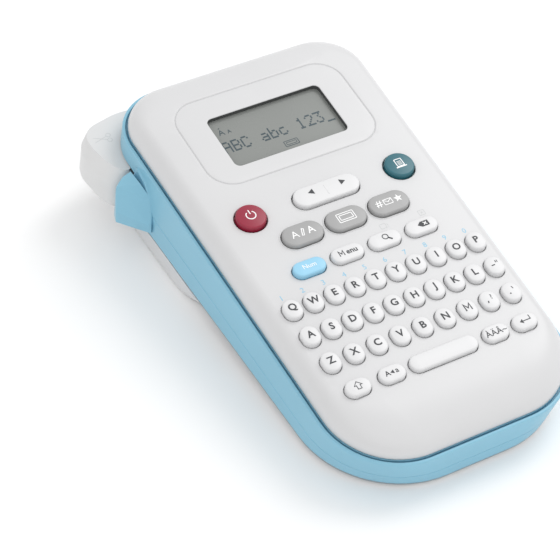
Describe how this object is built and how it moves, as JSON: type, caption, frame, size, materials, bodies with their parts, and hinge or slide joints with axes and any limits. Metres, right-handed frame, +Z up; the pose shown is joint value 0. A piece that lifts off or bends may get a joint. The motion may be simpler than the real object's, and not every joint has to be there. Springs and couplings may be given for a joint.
{
  "type": "label maker",
  "caption": "Handheld label maker with a letter keyboard, a small display, a tape cutter lever at the side and a deep back cover it lies on.",
  "frame": {"origin": "middle of the flat bottom of the back cover's belly, on the table plane", "axes": "+X across the keys to the right, +Y along the case towards the display end, +Z up from the table; the key plane is tilted 8.5 degrees, display end raised"},
  "size_m": [0.1222, 0.2041, 0.0545],
  "materials": {
    "white_shell": "satin moulded white plastic",
    "blue_shell": "satin light-blue plastic",
    "white_key": "satin white key",
    "blue_key": "satin light-blue key",
    "grey_key": "satin mid-grey key",
    "red_key": "glossy crimson key",
    "teal_key": "glossy dark teal key",
    "display": "grey reflective liquid-crystal panel",
    "board": "green solder mask",
    "silicone": "translucent grey silicone",
    "steel": "brushed",
    "cell_jacket": "printed foil",
    "cassette": "light grey moulded plastic",
    "black_part": "black moulded plastic",
    "dark_rubber": "ground rubber",
    "gear_plastic": "natural acetal"
  },
  "bodies": {
    "case": {"top_cover": "white_shell", "middle_frame": "blue_shell", "display_panel": "display", "circuit_board": "board", "keypad_mat": "silicone", "batteries": "cell_jacket", "battery_contacts": "steel", "tape_cassette": "cassette", "print_head": "black_part", "drive_motor": "steel", "case_screws": "steel"},
    "back": {"back_cover": "white_shell"},
    "cutter": {"cutter_lever": "white_shell", "cutter_blade": "steel"},
    "platen": {"platen_roller": "dark_rubber"},
    "motor_shaft": {"motor_gear": "gear_plastic"},
    "rocker": {"arrow_rocker": "white_key"},
    "key_q_cap": {"key_q": "white_key"},
    "key_w_cap": {"key_w": "white_key"},
    "key_e_cap": {"key_e": "white_key"},
    "key_r_cap": {"key_r": "white_key"},
    "key_t_cap": {"key_t": "white_key"},
    "key_y_cap": {"key_y": "white_key"},
    "key_u_cap": {"key_u": "white_key"},
    "key_i_cap": {"key_i": "white_key"},
    "key_o_cap": {"key_o": "white_key"},
    "key_p_cap": {"key_p": "white_key"},
    "key_a_cap": {"key_a": "white_key"},
    "key_s_cap": {"key_s": "white_key"},
    "key_d_cap": {"key_d": "white_key"},
    "key_f_cap": {"key_f": "white_key"},
    "key_g_cap": {"key_g": "white_key"},
    "key_h_cap": {"key_h": "white_key"},
    "key_j_cap": {"key_j": "white_key"},
    "key_k_cap": {"key_k": "white_key"},
    "key_l_cap": {"key_l": "white_key"},
    "key_dash_cap": {"key_dash": "white_key"},
    "key_z_cap": {"key_z": "white_key"},
    "key_x_cap": {"key_x": "white_key"},
    "key_c_cap": {"key_c": "white_key"},
    "key_v_cap": {"key_v": "white_key"},
    "key_b_cap": {"key_b": "white_key"},
    "key_n_cap": {"key_n": "white_key"},
    "key_m_cap": {"key_m": "white_key"},
    "key_comma_cap": {"key_comma": "white_key"},
    "key_period_cap": {"key_period": "white_key"},
    "key_shift_cap": {"key_shift": "white_key"},
    "key_small_cap": {"key_small": "white_key"},
    "key_space_cap": {"key_space": "white_key"},
    "key_accents_cap": {"key_accents": "white_key"},
    "key_enter_cap": {"key_enter": "white_key"},
    "num_key_cap": {"num_key": "blue_key"},
    "menu_key_cap": {"menu_key": "white_key"},
    "search_key_cap": {"search_key": "white_key"},
    "backspace_key_cap": {"backspace_key": "white_key"},
    "style_key_cap": {"style_key": "grey_key"},
    "frame_key_cap": {"frame_key": "grey_key"},
    "symbol_key_cap": {"symbol_key": "grey_key"},
    "power_key_cap": {"power_key": "red_key"},
    "print_key_cap": {"print_key": "teal_key"}
  },
  "joints": [
    {"name": "cutter_press", "type": "hinge", "parent": "case", "child": "cutter", "pos_m": [-0.038, 0.05138, 0.02826], "axis": [0, -0.1478, 0.989], "range_deg": [0, 6.5], "stiffness_Nm_per_rad": 0.35, "springref_deg": -6.88},
    {"name": "back_cover_lift", "type": "slide", "parent": "case", "child": "back", "axis": [0, 0.1478, -0.989], "range_m": [0, 0.03]},
    {"name": "platen_turn", "type": "hinge", "parent": "case", "child": "platen", "pos_m": [-0.04, 0.02829, 0.02684], "axis": [0, -0.1478, 0.989], "continuous": true},
    {"name": "motor_turn", "type": "hinge", "parent": "case", "child": "motor_shaft", "pos_m": [-0.02919, 0.03415, 0.03883], "axis": [0, -0.1478, 0.989], "continuous": true},
    {"name": "arrow_rock", "type": "hinge", "parent": "case", "child": "rocker", "pos_m": [0, -0.02956, 0.04347], "axis": [0, 0.989, 0.1478], "range_deg": [-3, 3], "stiffness_Nm_per_rad": 0.25},
    {"name": "key_q_press", "type": "slide", "parent": "case", "child": "key_q_cap", "axis": [0, 0.1478, -0.989], "range_m": [0, 0.0012], "stiffness_N_per_m": 400, "springref_m": -0.0008},
    {"name": "key_w_press", "type": "slide", "parent": "case", "child": "key_w_cap", "axis": [0, 0.1478, -0.989], "range_m": [0, 0.0012], "stiffness_N_per_m": 400, "springref_m": -0.0008},
    {"name": "key_e_press", "type": "slide", "parent": "case", "child": "key_e_cap", "axis": [0, 0.1478, -0.989], "range_m": [0, 0.0012], "stiffness_N_per_m": 400, "springref_m": -0.0008},
    {"name": "key_r_press", "type": "slide", "parent": "case", "child": "key_r_cap", "axis": [0, 0.1478, -0.989], "range_m": [0, 0.0012], "stiffness_N_per_m": 400, "springref_m": -0.0008},
    {"name": "key_t_press", "type": "slide", "parent": "case", "child": "key_t_cap", "axis": [0, 0.1478, -0.989], "range_m": [0, 0.0012], "stiffness_N_per_m": 400, "springref_m": -0.0008},
    {"name": "key_y_press", "type": "slide", "parent": "case", "child": "key_y_cap", "axis": [0, 0.1478, -0.989], "range_m": [0, 0.0012], "stiffness_N_per_m": 400, "springref_m": -0.0008},
    {"name": "key_u_press", "type": "slide", "parent": "case", "child": "key_u_cap", "axis": [0, 0.1478, -0.989], "range_m": [0, 0.0012], "stiffness_N_per_m": 400, "springref_m": -0.0008},
    {"name": "key_i_press", "type": "slide", "parent": "case", "child": "key_i_cap", "axis": [0, 0.1478, -0.989], "range_m": [0, 0.0012], "stiffness_N_per_m": 400, "springref_m": -0.0008},
    {"name": "key_o_press", "type": "slide", "parent": "case", "child": "key_o_cap", "axis": [0, 0.1478, -0.989], "range_m": [0, 0.0012], "stiffness_N_per_m": 400, "springref_m": -0.0008},
    {"name": "key_p_press", "type": "slide", "parent": "case", "child": "key_p_cap", "axis": [0, 0.1478, -0.989], "range_m": [0, 0.0012], "stiffness_N_per_m": 400, "springref_m": -0.0008},
    {"name": "key_a_press", "type": "slide", "parent": "case", "child": "key_a_cap", "axis": [0, 0.1478, -0.989], "range_m": [0, 0.0012], "stiffness_N_per_m": 400, "springref_m": -0.0008},
    {"name": "key_s_press", "type": "slide", "parent": "case", "child": "key_s_cap", "axis": [0, 0.1478, -0.989], "range_m": [0, 0.0012], "stiffness_N_per_m": 400, "springref_m": -0.0008},
    {"name": "key_d_press", "type": "slide", "parent": "case", "child": "key_d_cap", "axis": [0, 0.1478, -0.989], "range_m": [0, 0.0012], "stiffness_N_per_m": 400, "springref_m": -0.0008},
    {"name": "key_f_press", "type": "slide", "parent": "case", "child": "key_f_cap", "axis": [0, 0.1478, -0.989], "range_m": [0, 0.0012], "stiffness_N_per_m": 400, "springref_m": -0.0008},
    {"name": "key_g_press", "type": "slide", "parent": "case", "child": "key_g_cap", "axis": [0, 0.1478, -0.989], "range_m": [0, 0.0012], "stiffness_N_per_m": 400, "springref_m": -0.0008},
    {"name": "key_h_press", "type": "slide", "parent": "case", "child": "key_h_cap", "axis": [0, 0.1478, -0.989], "range_m": [0, 0.0012], "stiffness_N_per_m": 400, "springref_m": -0.0008},
    {"name": "key_j_press", "type": "slide", "parent": "case", "child": "key_j_cap", "axis": [0, 0.1478, -0.989], "range_m": [0, 0.0012], "stiffness_N_per_m": 400, "springref_m": -0.0008},
    {"name": "key_k_press", "type": "slide", "parent": "case", "child": "key_k_cap", "axis": [0, 0.1478, -0.989], "range_m": [0, 0.0012], "stiffness_N_per_m": 400, "springref_m": -0.0008},
    {"name": "key_l_press", "type": "slide", "parent": "case", "child": "key_l_cap", "axis": [0, 0.1478, -0.989], "range_m": [0, 0.0012], "stiffness_N_per_m": 400, "springref_m": -0.0008},
    {"name": "key_dash_press", "type": "slide", "parent": "case", "child": "key_dash_cap", "axis": [0, 0.1478, -0.989], "range_m": [0, 0.0012], "stiffness_N_per_m": 400, "springref_m": -0.0008},
    {"name": "key_z_press", "type": "slide", "parent": "case", "child": "key_z_cap", "axis": [0, 0.1478, -0.989], "range_m": [0, 0.0012], "stiffness_N_per_m": 400, "springref_m": -0.0008},
    {"name": "key_x_press", "type": "slide", "parent": "case", "child": "key_x_cap", "axis": [0, 0.1478, -0.989], "range_m": [0, 0.0012], "stiffness_N_per_m": 400, "springref_m": -0.0008},
    {"name": "key_c_press", "type": "slide", "parent": "case", "child": "key_c_cap", "axis": [0, 0.1478, -0.989], "range_m": [0, 0.0012], "stiffness_N_per_m": 400, "springref_m": -0.0008},
    {"name": "key_v_press", "type": "slide", "parent": "case", "child": "key_v_cap", "axis": [0, 0.1478, -0.989], "range_m": [0, 0.0012], "stiffness_N_per_m": 400, "springref_m": -0.0008},
    {"name": "key_b_press", "type": "slide", "parent": "case", "child": "key_b_cap", "axis": [0, 0.1478, -0.989], "range_m": [0, 0.0012], "stiffness_N_per_m": 400, "springref_m": -0.0008},
    {"name": "key_n_press", "type": "slide", "parent": "case", "child": "key_n_cap", "axis": [0, 0.1478, -0.989], "range_m": [0, 0.0012], "stiffness_N_per_m": 400, "springref_m": -0.0008},
    {"name": "key_m_press", "type": "slide", "parent": "case", "child": "key_m_cap", "axis": [0, 0.1478, -0.989], "range_m": [0, 0.0012], "stiffness_N_per_m": 400, "springref_m": -0.0008},
    {"name": "key_comma_press", "type": "slide", "parent": "case", "child": "key_comma_cap", "axis": [0, 0.1478, -0.989], "range_m": [0, 0.0012], "stiffness_N_per_m": 400, "springref_m": -0.0008},
    {"name": "key_period_press", "type": "slide", "parent": "case", "child": "key_period_cap", "axis": [0, 0.1478, -0.989], "range_m": [0, 0.0012], "stiffness_N_per_m": 400, "springref_m": -0.0008},
    {"name": "key_shift_press", "type": "slide", "parent": "case", "child": "key_shift_cap", "axis": [0, 0.1478, -0.989], "range_m": [0, 0.0012], "stiffness_N_per_m": 400, "springref_m": -0.0008},
    {"name": "key_small_press", "type": "slide", "parent": "case", "child": "key_small_cap", "axis": [0, 0.1478, -0.989], "range_m": [0, 0.0012], "stiffness_N_per_m": 400, "springref_m": -0.0008},
    {"name": "key_space_press", "type": "slide", "parent": "case", "child": "key_space_cap", "axis": [0, 0.1478, -0.989], "range_m": [0, 0.0012], "stiffness_N_per_m": 400, "springref_m": -0.0008},
    {"name": "key_accents_press", "type": "slide", "parent": "case", "child": "key_accents_cap", "axis": [0, 0.1478, -0.989], "range_m": [0, 0.0012], "stiffness_N_per_m": 400, "springref_m": -0.0008},
    {"name": "key_enter_press", "type": "slide", "parent": "case", "child": "key_enter_cap", "axis": [0, 0.1478, -0.989], "range_m": [0, 0.0012], "stiffness_N_per_m": 400, "springref_m": -0.0008},
    {"name": "num_key_press", "type": "slide", "parent": "case", "child": "num_key_cap", "axis": [0, 0.1478, -0.989], "range_m": [0, 0.0012], "stiffness_N_per_m": 400, "springref_m": -0.0008},
    {"name": "menu_key_press", "type": "slide", "parent": "case", "child": "menu_key_cap", "axis": [0, 0.1478, -0.989], "range_m": [0, 0.0012], "stiffness_N_per_m": 400, "springref_m": -0.0008},
    {"name": "search_key_press", "type": "slide", "parent": "case", "child": "search_key_cap", "axis": [0, 0.1478, -0.989], "range_m": [0, 0.0012], "stiffness_N_per_m": 400, "springref_m": -0.0008},
    {"name": "backspace_key_press", "type": "slide", "parent": "case", "child": "backspace_key_cap", "axis": [0, 0.1478, -0.989], "range_m": [0, 0.0012], "stiffness_N_per_m": 400, "springref_m": -0.0008},
    {"name": "style_key_press", "type": "slide", "parent": "case", "child": "style_key_cap", "axis": [0, 0.1478, -0.989], "range_m": [0, 0.0012], "stiffness_N_per_m": 400, "springref_m": -0.0008},
    {"name": "frame_key_press", "type": "slide", "parent": "case", "child": "frame_key_cap", "axis": [0, 0.1478, -0.989], "range_m": [0, 0.0012], "stiffness_N_per_m": 400, "springref_m": -0.0008},
    {"name": "symbol_key_press", "type": "slide", "parent": "case", "child": "symbol_key_cap", "axis": [0, 0.1478, -0.989], "range_m": [0, 0.0012], "stiffness_N_per_m": 400, "springref_m": -0.0008},
    {"name": "power_key_press", "type": "slide", "parent": "case", "child": "power_key_cap", "axis": [0, 0.1478, -0.989], "range_m": [0, 0.0012], "stiffness_N_per_m": 400, "springref_m": -0.0008},
    {"name": "print_key_press", "type": "slide", "parent": "case", "child": "print_key_cap", "axis": [0, 0.1478, -0.989], "range_m": [0, 0.0012], "stiffness_N_per_m": 400, "springref_m": -0.0008}
  ],
  "couplings": [
    {"joint": "motor_turn", "follows": "platen_turn", "ratio": -1.75}
  ]
}
